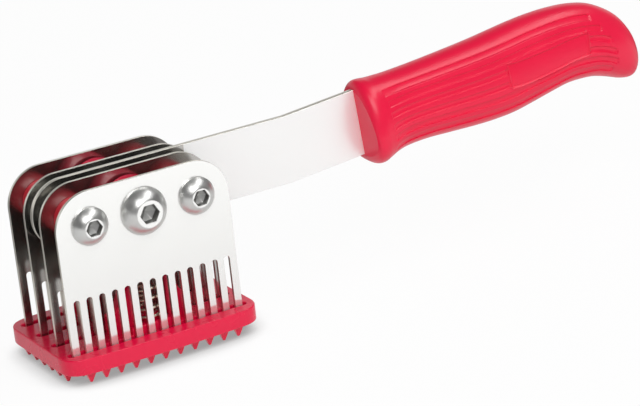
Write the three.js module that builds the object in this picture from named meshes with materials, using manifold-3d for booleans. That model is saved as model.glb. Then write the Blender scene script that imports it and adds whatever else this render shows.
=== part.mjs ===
// Meat mallet whose four toothed plates push through a sprung, spiked base when the head is pressed down.
// Millimetres, +Z up, +X from the head towards the handle, Y across the plates, spike tips at Z = 0.
import * as THREE from "three";
import { mergeGeometries, mergeVertices } from "three/addons/utils/BufferGeometryUtils.js";
import Module from "manifold-3d";

// Clearances and cuts
const fitGap = 0.3;
const cutOverrun = 1;

// Toothed plates
const plateCount = 4;
const platePitch = 12.34;
const plateThickness = 1.2;
const plateWidth = 64;
const plateCornerRadius = 13;
const toothPitch = 4.7;
const toothSlotWidth = 2.1;
const toothSlotHeadroom = 3.5;
const toothSink = 4;
const toothBevelHeight = 1.6;
const toothEdgeThickness = 0.3;

// Spiked base and its two slotted tongues
const stripperTravel = 15;
const baseThickness = 5.2;
const baseEndWall = 3;
const baseSideWall = 7.5;
const baseCornerLength = 8;
const baseEdgeRadius = 0.9;
const baseBulgeShare = 0.06;
const plateSideGap = 0.5;
const plateEndGap = 1.6;
const spikeHeight = 4.3;
const spikePitch = 5.57;
const spikeTipWidth = 1;
const spikeSpacing = 1.1;
const spikeSlotMargin = 0.1;
const tongueThickness = 5;
const tongueFootHalfWidth = 15.2;
const tongueFootHeight = 7;
const tongueWaistHeight = 15;
const tongueSillHeight = 2.5;
const bossSideGap = 1.07;
const bossSpacerGap = 1.22;
const spigotHeight = 2;

// Springs
const springWire = 1;
const springSideGap = 0.57;
const springEndTurnGap = 0.5;
const springTurns = 10.5;
const springStepsPerTurn = 8;
const springSides = 5;

// Screws, nuts, spacers and sleeves
const screwRise = 42.55;
const screwSpacing = 19.82;
const outerScrewDiameter = 8;
const outerHeadDiameter = 13;
const outerHeadHeight = 3.8;
const outerHeadFlatDiameter = 6.8;
const outerSocketWidth = 5;
const outerSocketDepth = 2.5;
const outerNutWidth = 13;
const outerNutHeight = 4;
const centreScrewDiameter = 10;
const centreHeadDiameter = 16.5;
const centreHeadHeight = 4.9;
const centreHeadFlatDiameter = 9;
const centreSocketWidth = 6;
const centreSocketDepth = 3.1;
const centreNutWidth = 16;
const centreNutHeight = 5;
const headRimHeight = 0.8;
const screwEndChamfer = 0.8;
const screwProtrusion = 1.5;
const nutChamfer = 0.7;
const spacerDiameter = 14.4;
const shankSpacerDiameter = 16;
const sleeveDiameter = 12;
const roundSides = 20;

// Flat steel shank with its tang
const shankWidth = 24.2;
const shankThickness = 2;
const shankBendBeyondPlates = 33;
const shankReach = 28.2;
const shankBendAngle = THREE.MathUtils.degToRad(5.13);
const tangWidth = 14;
const tangLength = 30;

// Moulded handle
const handleLength = 117.8;
const gripHeight = 30;
const gripThickness = 24;
const grooveWidth = 2.6;
const grooveDepth = 0.5;
const grooveWallWidth = 0.35;
const grooveRunout = 0.9;
const panelDepth = 0.45;
const coreWall = 3.2;
const coreSides = 16;
const coreSpans = 6;

// Heights and places that follow from the sizes above
const plateHalfSpan = platePitch * (plateCount - 1) / 2;
const plateGap = platePitch - plateThickness;
const frontFace = -plateHalfSpan - plateThickness / 2;
const rearFace = plateHalfSpan + plateThickness / 2;
const baseTop = spikeHeight + baseThickness;
const baseSlotWidth = plateThickness + 2 * plateSideGap;
const baseHalfLength = plateWidth / 2 + plateEndGap + baseEndWall;
const baseHalfWidth = plateHalfSpan + baseSideWall;
const screwHeight = baseTop + screwRise;
const plateTop = screwHeight + shankWidth / 2;
const toothTip = baseTop - toothSink;
const toothSlotTop = baseTop + stripperTravel + toothSlotHeadroom;
const windowHalfWidth = sleeveDiameter / 2 + fitGap;
const windowSill = baseTop + tongueSillHeight;
const bossRadius = screwSpacing - spacerDiameter / 2 - bossSpacerGap;
const bossThickness = plateGap - 2 * bossSideGap;
const springDiameter = Math.min(plateGap, 2 * windowHalfWidth) - 2 * springSideGap;
const springRadius = (springDiameter - springWire) / 2;
const shankBendX = plateWidth / 2 + shankBendBeyondPlates;
const tongueRows = [-platePitch, platePitch];

const wasm = await Module();
wasm.setup();

// A closed geometry as a solid that can be joined and cut
function toSolid(geometry) {
  const bare = geometry.clone();
  bare.deleteAttribute("normal");
  bare.deleteAttribute("uv");
  const merged = mergeVertices(bare);
  const vertProperties = merged.attributes.position.array;
  const triVerts = new Uint32Array(merged.index.array);
  return new wasm.Manifold(new wasm.Mesh({ numProp: 3, vertProperties, triVerts }));
}

// A joined or cut solid as a geometry with flat faces
function toGeometry(solid) {
  const mesh = solid.getMesh();
  const geometry = new THREE.BufferGeometry();
  geometry.setAttribute("position", new THREE.BufferAttribute(mesh.vertProperties, mesh.numProp));
  geometry.setIndex(new THREE.BufferAttribute(mesh.triVerts, 1));
  const flat = geometry.toNonIndexed();
  flat.computeVertexNormals();
  return flat;
}

// Points along an arc from one angle to another, both ends included
function arcPoints(centreX, centreY, radius, from, to, steps) {
  const points = [];
  for (let i = 0; i <= steps; i++) {
    const angle = from + (to - from) * i / steps;
    points.push(new THREE.Vector2(centreX + radius * Math.cos(angle), centreY + radius * Math.sin(angle)));
  }
  return points;
}

// A round hole for a shape
function roundHole(centreX, centreY, radius) {
  return new THREE.Path(arcPoints(centreX, centreY, radius, 0, -2 * Math.PI, roundSides).slice(0, -1));
}

// An outline drawn in X and Z, thickened evenly to both sides of Y = 0
function upright(shape, thickness) {
  const geometry = new THREE.ExtrudeGeometry(shape, { depth: thickness, bevelEnabled: false });
  geometry.rotateX(Math.PI / 2);
  geometry.translate(0, thickness / 2, 0);
  return geometry;
}

// A closed skin through rings of points, each end closed by a fan to a point of its own
function loft(rings, startPoint, endPoint) {
  const sides = rings[0].length;
  const positions = [...rings.flat(), startPoint, endPoint].flatMap((p) => [p.x, p.y, p.z]);
  const startIndex = rings.length * sides;
  const endIndex = startIndex + 1;
  const lastRing = startIndex - sides;
  const index = [];
  for (let j = 0; j < sides; j++) {
    const next = (j + 1) % sides;
    for (let i = 0; i < lastRing; i += sides) {
      index.push(i + j, i + next, i + sides + next);
      index.push(i + j, i + sides + next, i + sides + j);
    }
    index.push(startIndex, next, j);
    index.push(endIndex, lastRing + j, lastRing + next);
  }
  const geometry = new THREE.BufferGeometry();
  geometry.setAttribute("position", new THREE.Float32BufferAttribute(positions, 3));
  geometry.setIndex(index);
  return geometry;
}

function brightSteel() {
  return new THREE.MeshStandardMaterial({ color: 0xdedede, metalness: 1, roughness: 0.16 });
}

function screwSteel() {
  return new THREE.MeshStandardMaterial({ color: 0xb9b9b7, metalness: 1, roughness: 0.3 });
}

function springSteel() {
  return new THREE.MeshStandardMaterial({ color: 0x8d8a84, metalness: 1, roughness: 0.3 });
}

function redPlastic(color) {
  return new THREE.MeshStandardMaterial({ color, metalness: 0, roughness: 0.3 });
}

const mallet = new THREE.Group();

function addPiece(parent, name, geometry, material, x, y, z) {
  const piece = new THREE.Mesh(geometry, material);
  piece.name = name;
  piece.position.set(x, y, z);
  parent.add(piece);
}

// Toothed plates: stamped steel with round-topped slots between the teeth, ground to an edge at the tips
function plateOutline() {
  const half = plateWidth / 2;
  const slotRadius = toothSlotWidth / 2;
  const toothWidth = toothPitch - toothSlotWidth;
  const slotCount = Math.floor((plateWidth - toothWidth) / toothPitch);
  const points = [new THREE.Vector2(-half, toothTip)];
  for (let i = 0; i < slotCount; i++) {
    const x = (i - (slotCount - 1) / 2) * toothPitch;
    points.push(new THREE.Vector2(x - slotRadius, toothTip));
    points.push(...arcPoints(x, toothSlotTop - slotRadius, slotRadius, Math.PI, 0, 4));
    points.push(new THREE.Vector2(x + slotRadius, toothTip));
  }
  points.push(new THREE.Vector2(half, toothTip));
  const cornerX = half - plateCornerRadius;
  const cornerZ = plateTop - plateCornerRadius;
  points.push(...arcPoints(cornerX, cornerZ, plateCornerRadius, 0, Math.PI / 2, 6));
  points.push(...arcPoints(-cornerX, cornerZ, plateCornerRadius, Math.PI / 2, Math.PI, 6));
  const shape = new THREE.Shape(points);
  const outerHole = outerScrewDiameter / 2 + fitGap;
  const centreHole = centreScrewDiameter / 2 + fitGap;
  shape.holes.push(roundHole(-screwSpacing, screwHeight, outerHole));
  shape.holes.push(roundHole(0, screwHeight, centreHole));
  shape.holes.push(roundHole(screwSpacing, screwHeight, outerHole));
  return shape;
}

// The wedge that a grinding wheel takes off one side of the tooth tips
function toothGrinding() {
  const face = plateThickness / 2;
  const edge = toothEdgeThickness / 2;
  const slope = (face - edge) / toothBevelHeight;
  const section = new THREE.Shape([
    new THREE.Vector2(edge - slope * cutOverrun, toothTip - cutOverrun),
    new THREE.Vector2(face + cutOverrun, toothTip - cutOverrun),
    new THREE.Vector2(face + cutOverrun, toothTip + toothBevelHeight + cutOverrun / slope),
  ]);
  const length = plateWidth + 2 * cutOverrun;
  const wedge = new THREE.ExtrudeGeometry(section, { depth: length, bevelEnabled: false });
  wedge.translate(0, 0, -length / 2);
  wedge.rotateX(Math.PI / 2);
  wedge.rotateZ(Math.PI / 2);
  return toSolid(wedge);
}

const grinding = toothGrinding();
const oppositeGrinding = grinding.rotate([0, 0, 180]);
const blank = toSolid(upright(plateOutline(), plateThickness));
const plate = toGeometry(blank.subtract(grinding).subtract(oppositeGrinding));
for (let i = 0; i < plateCount; i++)
  addPiece(mallet, `blade_plate_${i + 1}`, plate, brightSteel(), 0, i * platePitch - plateHalfSpan, 0);

// Spiked base: a slab with bowed long sides, one slot for each plate, and rows of blunt spikes under it
function baseRing(z, inset) {
  const halfLength = baseHalfLength - inset;
  const halfWidth = baseHalfWidth - inset;
  const bulge = halfWidth * baseBulgeShare;
  const cornerX = halfLength - baseCornerLength;
  const cornerBow = bulge * (cornerX / halfLength) ** 2;
  const cornerY = halfWidth - bulge - baseCornerLength;
  const corner = new THREE.QuadraticBezierCurve(
    new THREE.Vector2(halfLength, cornerY),
    new THREE.Vector2(halfLength, halfWidth - bulge),
    new THREE.Vector2(cornerX, halfWidth - cornerBow),
  );
  const side = new THREE.QuadraticBezierCurve(
    new THREE.Vector2(cornerX, halfWidth - cornerBow),
    new THREE.Vector2(0, halfWidth + cornerBow),
    new THREE.Vector2(-cornerX, halfWidth - cornerBow),
  );
  const quarter = corner.getPoints(5);
  const flipped = quarter.map((p) => new THREE.Vector2(-p.x, p.y)).reverse();
  const rear = [...quarter, ...side.getPoints(8).slice(1, -1), ...flipped];
  const front = rear.map((p) => new THREE.Vector2(-p.x, -p.y));
  return [...rear, ...front].map((p) => new THREE.Vector3(p.x, p.y, z));
}

function baseSlab() {
  const rings = [baseRing(spikeHeight, 0), baseRing(baseTop - baseEdgeRadius, 0)];
  for (const angle of [Math.PI / 4, Math.PI / 2]) {
    const drop = baseEdgeRadius * (1 - Math.sin(angle));
    rings.push(baseRing(baseTop - drop, baseEdgeRadius * (1 - Math.cos(angle))));
  }
  return loft(rings, new THREE.Vector3(0, 0, spikeHeight), new THREE.Vector3(0, 0, baseTop));
}

function rectangleRing(x, y, z, halfX, halfY) {
  const corners = [[1, 1], [-1, 1], [-1, -1], [1, -1]];
  return corners.map(([sideX, sideY]) => new THREE.Vector3(x + sideX * halfX, y + sideY * halfY, z));
}

function spike(x, y) {
  const rootHalfX = (spikePitch - spikeSpacing) / 2;
  const rootHalfY = platePitch / 4 - baseSlotWidth / 2 - spikeSlotMargin;
  const tip = rectangleRing(x, y, 0, spikeTipWidth / 2, spikeTipWidth / 2);
  const root = rectangleRing(x, y, spikeHeight, rootHalfX, rootHalfY);
  const inside = rectangleRing(x, y, spikeHeight + baseThickness / 2, rootHalfX, rootHalfY);
  const rings = [tip, root, inside];
  return loft(rings, new THREE.Vector3(x, y, 0), new THREE.Vector3(x, y, spikeHeight + baseThickness / 2));
}

function spikes() {
  const rootHalfX = (spikePitch - spikeSpacing) / 2;
  const columnsPerSide = Math.floor((baseHalfLength - rootHalfX) / spikePitch);
  const lastRow = 2 * plateCount - 1;
  const all = [];
  for (let row = 0; row <= lastRow; row++)
    for (let column = -columnsPerSide; column <= columnsPerSide; column++) {
      const outerRow = row === 0 || row === lastRow;
      const outerColumn = Math.abs(column) === columnsPerSide;
      if (!(outerRow && outerColumn))
        all.push(spike(column * spikePitch, (row - lastRow / 2) * platePitch / 2));
    }
  return mergeGeometries(all);
}

function plateSlots() {
  const length = plateWidth + 2 * plateEndGap;
  const slots = [];
  for (let i = 0; i < plateCount; i++) {
    const slot = new THREE.BoxGeometry(length, baseSlotWidth, baseTop + 2 * cutOverrun);
    slot.translate(0, i * platePitch - plateHalfSpan, baseTop / 2);
    slots.push(slot);
  }
  return mergeGeometries(slots.map((slot) => slot.toNonIndexed()));
}

// Tongue: two posts on a wide foot, joined over the centre sleeve by a thick ring
function tongueOutline() {
  const foot = baseTop - baseThickness / 2;
  const shoulder = new THREE.QuadraticBezierCurve(
    new THREE.Vector2(tongueFootHalfWidth, baseTop + tongueFootHeight),
    new THREE.Vector2(bossRadius, baseTop + (tongueFootHeight + tongueWaistHeight) / 2),
    new THREE.Vector2(bossRadius, baseTop + tongueWaistHeight),
  ).getPoints(4);
  const crown = arcPoints(0, screwHeight, bossRadius, 0, Math.PI, 12);
  const left = shoulder.map((p) => new THREE.Vector2(-p.x, p.y)).reverse();
  const footRight = new THREE.Vector2(tongueFootHalfWidth, foot);
  const footLeft = new THREE.Vector2(-tongueFootHalfWidth, foot);
  return new THREE.Shape([footRight, ...shoulder, ...crown, ...left, footLeft]);
}

function tongueWindow() {
  const shape = new THREE.Shape([
    new THREE.Vector2(-windowHalfWidth, windowSill),
    new THREE.Vector2(windowHalfWidth, windowSill),
    ...arcPoints(0, screwHeight, windowHalfWidth, 0, Math.PI, 10),
  ]);
  return upright(shape, platePitch);
}

function tongueSolid(y) {
  const posts = toSolid(upright(tongueOutline(), tongueThickness));
  const boss = toSolid(new THREE.CylinderGeometry(bossRadius, bossRadius, bossThickness, 24));
  const seatWidth = platePitch - baseSlotWidth - 2 * spikeSlotMargin;
  const seatHeight = baseThickness / 2 + tongueSillHeight;
  const seat = new THREE.BoxGeometry(2 * windowHalfWidth + tongueThickness, seatWidth, seatHeight);
  seat.translate(0, 0, windowSill - seatHeight / 2);
  const coilFlatRadius = springRadius * Math.cos(Math.PI / springStepsPerTurn) - springWire / 2;
  const spigotRadius = coilFlatRadius - fitGap;
  const spigot = new THREE.CylinderGeometry(spigotRadius - fitGap, spigotRadius, 2 * spigotHeight, 12);
  spigot.rotateX(Math.PI / 2);
  spigot.translate(0, 0, windowSill);
  return posts.add(boss.translate([0, 0, screwHeight]))
    .subtract(toSolid(tongueWindow()))
    .add(toSolid(seat))
    .add(toSolid(spigot))
    .translate([0, y, 0]);
}

let strippingBase = toSolid(baseSlab()).add(toSolid(spikes()));
for (const y of tongueRows)
  strippingBase = strippingBase.add(tongueSolid(y));
strippingBase = strippingBase.subtract(toSolid(plateSlots()));
addPiece(mallet, "stripper_base", toGeometry(strippingBase), redPlastic(0xd9143a), 0, 0, 0);

// Springs: one unbroken wire each, with a closer turn at each end, from the sill up to the centre sleeve
const springStart = windowSill + fitGap + springWire / 2;
const springEnd = screwHeight - sleeveDiameter / 2 - fitGap - springWire / 2;
const springEndPitch = springWire + springEndTurnGap;
const springPitch = (springEnd - springStart - 2 * springEndPitch) / (springTurns - 2);

function springRise(turn) {
  if (turn < 1)
    return turn * springEndPitch;
  if (turn < springTurns - 1)
    return springEndPitch + (turn - 1) * springPitch;
  return springEnd - springStart - (springTurns - turn) * springEndPitch;
}

function springCentre(turn) {
  const angle = turn * 2 * Math.PI;
  const z = springStart + springRise(turn);
  return new THREE.Vector3(springRadius * Math.cos(angle), springRadius * Math.sin(angle), z);
}

function springRings() {
  const rings = [];
  for (let step = 0; step <= springTurns * springStepsPerTurn; step++) {
    const centre = springCentre(step / springStepsPerTurn);
    const outward = new THREE.Vector3(centre.x, centre.y, 0).normalize();
    const ring = [];
    for (let side = 0; side < springSides; side++) {
      const angle = side / springSides * 2 * Math.PI;
      const point = centre.clone().addScaledVector(outward, Math.cos(angle) * springWire / 2);
      point.z -= Math.sin(angle) * springWire / 2;
      ring.push(point);
    }
    rings.push(ring);
  }
  return rings;
}

// The least distance between the wire's own points that lie half a turn or more apart
function leastGap(rings) {
  let least = Infinity;
  rings.forEach((ring, i) => {
    for (const other of rings.slice(i + springStepsPerTurn / 2))
      for (const a of ring)
        for (const b of other)
          least = Math.min(least, a.distanceTo(b));
  });
  return least;
}

const coil = springRings();
const coilGap = leastGap(coil);
["spring_front", "spring_rear"].forEach((name, i) => {
  const geometry = loft(coil, springCentre(0), springCentre(springTurns));
  addPiece(mallet, name, geometry, springSteel(), 0, tongueRows[i], 0);
  console.log(`${name}: least gap between its turns ${coilGap.toFixed(2)} mm`);
});

// Button head screws with a hexagon socket, through all plates from the front
function hexagonRing(widthAcrossFlats, z) {
  const cornerRadius = widthAcrossFlats / Math.sqrt(3);
  return arcPoints(0, 0, cornerRadius, 0, Math.PI * 2, 6).slice(0, -1)
    .map((p) => new THREE.Vector3(p.x, p.y, z));
}

function screwGeometry(diameter, headDiameter, headHeight, flatDiameter, socketWidth, socketDepth, tipY) {
  const rim = headDiameter / 2;
  const flat = flatDiameter / 2;
  const rimSquared = rim ** 2 + headRimHeight ** 2;
  const centre = (flat ** 2 + headHeight ** 2 - rimSquared) / (2 * (headHeight - headRimHeight));
  const dome = Math.hypot(flat, headHeight - centre);
  const topAngle = Math.asin(flat / dome);
  const rimAngle = Math.asin(rim / dome);
  const profile = [new THREE.Vector2(0, frontFace - headHeight)];
  for (let i = 0; i <= 5; i++) {
    const angle = topAngle + (rimAngle - topAngle) * i / 5;
    profile.push(new THREE.Vector2(dome * Math.sin(angle), frontFace - centre - dome * Math.cos(angle)));
  }
  profile.push(new THREE.Vector2(rim, frontFace));
  profile.push(new THREE.Vector2(diameter / 2, frontFace));
  profile.push(new THREE.Vector2(diameter / 2, tipY - screwEndChamfer));
  profile.push(new THREE.Vector2(diameter / 2 - screwEndChamfer, tipY));
  profile.push(new THREE.Vector2(0, tipY));
  const outer = frontFace - headHeight - cutOverrun;
  const floor = frontFace - headHeight + socketDepth;
  const rings = [hexagonRing(socketWidth, -floor), hexagonRing(socketWidth, -outer)];
  const socket = loft(rings, new THREE.Vector3(0, 0, -floor), new THREE.Vector3(0, 0, -outer));
  socket.rotateX(Math.PI / 2);
  return toGeometry(toSolid(new THREE.LatheGeometry(profile, roundSides)).subtract(toSolid(socket)));
}

// Hexagon nuts behind the rear plate, with chamfered corners and a flat to each side
function nutGeometry(widthAcrossFlats, height, screwDiameter) {
  const corner = widthAcrossFlats / Math.sqrt(3);
  const flatRadius = widthAcrossFlats / 2;
  const outline = new THREE.Shape(arcPoints(0, 0, corner, Math.PI / 6, Math.PI * 13 / 6, 6).slice(0, -1));
  outline.holes.push(roundHole(0, 0, screwDiameter / 2 + fitGap));
  const prism = toSolid(upright(outline, height));
  const half = height / 2;
  const cone = new THREE.LatheGeometry([
    new THREE.Vector2(0, -half),
    new THREE.Vector2(flatRadius, -half),
    new THREE.Vector2(corner, -half + nutChamfer),
    new THREE.Vector2(corner, half - nutChamfer),
    new THREE.Vector2(flatRadius, half),
    new THREE.Vector2(0, half),
  ], 24);
  return toGeometry(prism.intersect(toSolid(cone)));
}

// A round sleeve about a screw, between two faces across Y
function sleeveGeometry(outerDiameter, boreDiameter, length) {
  const bore = boreDiameter / 2;
  const outer = outerDiameter / 2;
  return new THREE.LatheGeometry([
    new THREE.Vector2(bore, -length / 2),
    new THREE.Vector2(outer, -length / 2),
    new THREE.Vector2(outer, length / 2),
    new THREE.Vector2(bore, length / 2),
    new THREE.Vector2(bore, -length / 2),
  ], roundSides);
}

const outerTip = rearFace + outerNutHeight + screwProtrusion;
const centreTip = rearFace + centreNutHeight + screwProtrusion;
const outerScrew = screwGeometry(
  outerScrewDiameter, outerHeadDiameter, outerHeadHeight, outerHeadFlatDiameter,
  outerSocketWidth, outerSocketDepth, outerTip,
);
const centreScrew = screwGeometry(
  centreScrewDiameter, centreHeadDiameter, centreHeadHeight, centreHeadFlatDiameter,
  centreSocketWidth, centreSocketDepth, centreTip,
);
const outerBore = outerScrewDiameter + 2 * fitGap;
const centreBore = centreScrewDiameter + 2 * fitGap;
const shankSpacerLength = (plateGap - shankThickness) / 2;
const shankSpacerY = shankThickness / 2 + shankSpacerLength / 2;

for (const [place, x] of [["left", -screwSpacing], ["centre", 0], ["right", screwSpacing]]) {
  const central = place === "centre";
  const nutHeight = central ? centreNutHeight : outerNutHeight;
  const nut = central
    ? nutGeometry(centreNutWidth, centreNutHeight, centreScrewDiameter)
    : nutGeometry(outerNutWidth, outerNutHeight, outerScrewDiameter);
  addPiece(mallet, `${place}_screw`, central ? centreScrew : outerScrew, screwSteel(), x, 0, screwHeight);
  addPiece(mallet, `${place}_nut`, nut, screwSteel(), x, rearFace + nutHeight / 2, screwHeight);
  ["front", "rear"].forEach((end, i) => {
    const y = tongueRows[i];
    const shankSide = Math.sign(y) * shankSpacerY;
    const bore = central ? centreBore : outerBore;
    const name = central ? `centre_sleeve_${end}` : `red_spacer_${place}_${end}`;
    const sleeve = sleeveGeometry(central ? sleeveDiameter : spacerDiameter, bore, plateGap);
    const finish = central ? screwSteel() : redPlastic(0xc81433);
    addPiece(mallet, name, sleeve, finish, x, y, screwHeight);
    const spacer = sleeveGeometry(shankSpacerDiameter, bore, shankSpacerLength);
    addPiece(mallet, `shank_spacer_${place}_${end}`, spacer, screwSteel(), x, shankSide, screwHeight);
  });
}

// Shank: flat strip with a round end, bent up in its own plane beyond the plates, then narrowed to a tang
function shankOutline() {
  const half = shankWidth / 2;
  const along = new THREE.Vector2(Math.cos(shankBendAngle), Math.sin(shankBendAngle));
  const down = new THREE.Vector2(along.y, -along.x);
  const bend = new THREE.Vector2(shankBendX, plateTop);
  const lowerBendX = shankBendX + shankWidth * Math.tan(shankBendAngle / 2);
  const place = (u, v) => bend.clone().addScaledVector(along, u).addScaledVector(down, v);
  const tangTop = half - tangWidth / 2;
  const tangEnd = shankReach + tangLength;
  const points = [
    new THREE.Vector2(lowerBendX, plateTop - shankWidth),
    place(shankReach, shankWidth),
    place(shankReach, shankWidth - tangTop),
    place(tangEnd, shankWidth - tangTop),
    place(tangEnd, tangTop),
    place(shankReach, tangTop),
    place(shankReach, 0),
    bend,
    ...arcPoints(-screwSpacing, screwHeight, half, Math.PI / 2, Math.PI * 3 / 2, 14),
  ];
  const shape = new THREE.Shape(points);
  shape.holes.push(roundHole(-screwSpacing, screwHeight, outerBore / 2));
  shape.holes.push(roundHole(0, screwHeight, centreBore / 2));
  shape.holes.push(roundHole(screwSpacing, screwHeight, outerBore / 2));
  return shape;
}

addPiece(mallet, "shank", upright(shankOutline(), shankThickness), brightSteel(), 0, 0, 0);

// Handle: rows of where the top and bottom edges lie and how thick the grip is there.
// Along is a share of the length from the end face, up a share of the grip's height above the shank's
// middle line, and thick a share of half the grip's thickness.
const gripShares = [
  { top: [0, 0.387], bottom: [0, -0.42], thick: 0.95 },
  { top: [0.006, 0.443], bottom: [0.006, -0.48], thick: 1.03 },
  { top: [0.019, 0.483], bottom: [0.019, -0.53], thick: 1.08 },
  { top: [0.038, 0.482], bottom: [0.038, -0.543], thick: 1.08 },
  { top: [0.06, 0.467], bottom: [0.06, -0.52], thick: 1.03 },
  { top: [0.09, 0.458], bottom: [0.09, -0.485], thick: 0.967 },
  { top: [0.13, 0.45], bottom: [0.13, -0.465], thick: 0.92 },
  { top: [0.2, 0.447], bottom: [0.2, -0.472], thick: 0.9 },
  { top: [0.28, 0.45], bottom: [0.28, -0.506], thick: 0.905 },
  { top: [0.365, 0.456], bottom: [0.365, -0.543], thick: 0.93 },
  { top: [0.44, 0.465], bottom: [0.44, -0.565], thick: 0.95 },
  { top: [0.51, 0.481], bottom: [0.51, -0.566], thick: 0.958 },
  { top: [0.58, 0.496], bottom: [0.58, -0.536], thick: 0.95 },
  { top: [0.655, 0.499], bottom: [0.65, -0.497], thick: 0.952 },
  { top: [0.73, 0.482], bottom: [0.715, -0.47], thick: 0.928 },
  { top: [0.802, 0.438], bottom: [0.768, -0.481], thick: 0.912 },
  { top: [0.871, 0.345], bottom: [0.815, -0.51], thick: 0.896 },
  { top: [0.938, 0.155], bottom: [0.856, -0.563], thick: 0.864 },
  { top: [0.978, -0.064], bottom: [0.889, -0.618], thick: 0.8 },
  { top: [0.996, -0.262], bottom: [0.917, -0.665], thick: 0.704 },
  { top: [0.999, -0.427], bottom: [0.947, -0.69], thick: 0.544 },
  { top: [0.991, -0.561], bottom: [0.972, -0.65], thick: 0.288 },
];
const pommelShare = { along: 0.985, up: -0.62 };

// Grooves: how far down the grip's height each runs, and where along the rows it starts and stops
const grooveShares = [
  { down: 0.094, from: 0.235, to: 0.72 },
  { down: 0.229, from: 0.265, to: 0.76 },
  { down: 0.365, from: 0.265, to: 0.795 },
  { down: 0.5, from: 0.29, to: 0.795 },
  { down: 0.635, from: 0.29, to: 0.795 },
  { down: 0.77, from: 0.29, to: 0.76 },
];
const panelShares = { above: 0.32, below: 0.585, from: 0.525, to: 0.7 };
const coreShares = { from: 0.32, to: 0.76 };
const topEdgeShares = [0.006, 0.022];
const bottomEdgeShares = [0.875, 0.925, 0.965, 0.99];
const gripRoundness = 2.3;
const gripTaper = 0.15;

// The top edge, bottom edge and thickness of the grip at a place along its rows
function gripSection(place) {
  const scaled = place * (gripShares.length - 1);
  const row = Math.min(Math.floor(scaled), gripShares.length - 2);
  const blend = scaled - row;
  const [a, b] = [gripShares[row], gripShares[row + 1]];
  const mix = (from, to) => from + (to - from) * blend;
  const edge = (from, to) => new THREE.Vector2(
    mix(from[0], to[0]) * handleLength,
    mix(from[1], to[1]) * gripHeight,
  );
  return {
    top: edge(a.top, b.top),
    bottom: edge(a.bottom, b.bottom),
    halfThickness: mix(a.thick, b.thick) * gripThickness / 2,
  };
}

// Half the width of a section at a rise from -1 at its bottom to 1 at its top, which is the narrower end
function gripWidth(rise) {
  return (1 - Math.abs(rise) ** gripRoundness) ** (1 / gripRoundness) * (1 - gripTaper * rise);
}

// Points down one side of a section, with the depth that a groove or the panel takes off there
function sideProfile(place) {
  const wall = grooveWallWidth / gripHeight;
  const half = grooveWidth / 2 / gripHeight;
  const runout = grooveRunout / handleLength / 2;
  const inPanel = place > panelShares.from && place < panelShares.to;
  const depthAt = (down) => {
    if (inPanel && down > panelShares.above && down < panelShares.below)
      return panelDepth;
    return grooveShares.some((g) => Math.abs(down - g.down) < half - wall / 2
      && place > g.from + runout && place < g.to - runout) ? grooveDepth : 0;
  };
  const downs = [...topEdgeShares, panelShares.below - wall, panelShares.below + wall, ...bottomEdgeShares];
  for (const { down } of grooveShares)
    downs.push(down - half, down - half + wall, down + half - wall, down + half);
  return downs.sort((a, b) => a - b).map((down) => ({ down, depth: depthAt(down) }));
}

function gripRing(place) {
  const { top, bottom, halfThickness } = gripSection(place);
  const side = sideProfile(place);
  const point = ({ down, depth }, sign) => {
    const middle = top.clone().lerp(bottom, down);
    const wide = gripWidth(1 - 2 * down) * halfThickness - depth;
    return new THREE.Vector3(middle.x, sign * wide, middle.y);
  };
  const edges = [{ down: 0, depth: 0 }, { down: 1, depth: 0 }];
  const front = side.map((p) => point(p, -1));
  const rear = side.map((p) => point(p, 1)).reverse();
  return [point(edges[0], 1), ...front, point(edges[1], 1), ...rear];
}

// The hollow that runs on from the tang's pocket, with walls of one thickness
function handleCore() {
  const rings = [];
  for (let i = 0; i <= coreSpans; i++) {
    const place = coreShares.from + (coreShares.to - coreShares.from) * i / coreSpans;
    const { top, bottom, halfThickness } = gripSection(place);
    const down = bottom.clone().sub(top);
    const middle = top.clone().addScaledVector(down, 1 / 2);
    const upward = down.clone().normalize().multiplyScalar(coreWall - down.length() / 2);
    rings.push(arcPoints(0, 0, 1, 0, 2 * Math.PI, coreSides).slice(0, -1).map((p) => {
      const rise = Math.sign(p.y) * Math.abs(p.y) ** (2 / gripRoundness);
      const side = Math.sign(p.x) * gripWidth(rise) * (halfThickness - coreWall);
      return new THREE.Vector3(middle.x + upward.x * rise, side, middle.y + upward.y * rise);
    }));
  }
  const centre = (ring) => ring.reduce((sum, p) => sum.add(p), new THREE.Vector3()).divideScalar(coreSides);
  return toSolid(loft(rings, centre(rings[0]), centre(rings[coreSpans])));
}

function handleGeometry() {
  const rowCount = gripShares.length - 1;
  const runout = grooveRunout / handleLength;
  const places = gripShares.map((row, i) => i / rowCount);
  for (const { from, to } of [...grooveShares, panelShares])
    places.push(from, from + runout, to - runout, to);
  places.sort((a, b) => a - b);
  const distinct = places.filter((place, i) => i === 0 || place - places[i - 1] > runout / 4);
  const pommel = new THREE.Vector3(pommelShare.along * handleLength, 0, pommelShare.up * gripHeight);
  const skin = loft(distinct.map(gripRing), new THREE.Vector3(0, 0, 0), pommel);
  const pocketLength = tangLength + cutOverrun;
  const pocketHeight = tangWidth + 2 * fitGap;
  const pocket = new THREE.BoxGeometry(pocketLength, shankThickness + 2 * fitGap, pocketHeight);
  pocket.translate(pocketLength / 2 - cutOverrun, 0, 0);
  return toGeometry(toSolid(skin).subtract(toSolid(pocket)).subtract(handleCore()));
}

const handleGroup = new THREE.Group();
handleGroup.position.set(shankBendX, 0, plateTop);
handleGroup.rotation.y = -shankBendAngle;
const handle = handleGeometry();
addPiece(handleGroup, "handle", handle, redPlastic(0xe8193c), shankReach + fitGap, 0, -shankWidth / 2);
mallet.add(handleGroup);

// The origin sits on the floor under the middle of the whole mallet
mallet.updateMatrixWorld(true);
const reach = new THREE.Box3().setFromObject(mallet, true);
mallet.position.x = -(reach.min.x + reach.max.x) / 2;

export default mallet;
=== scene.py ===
import math

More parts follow.
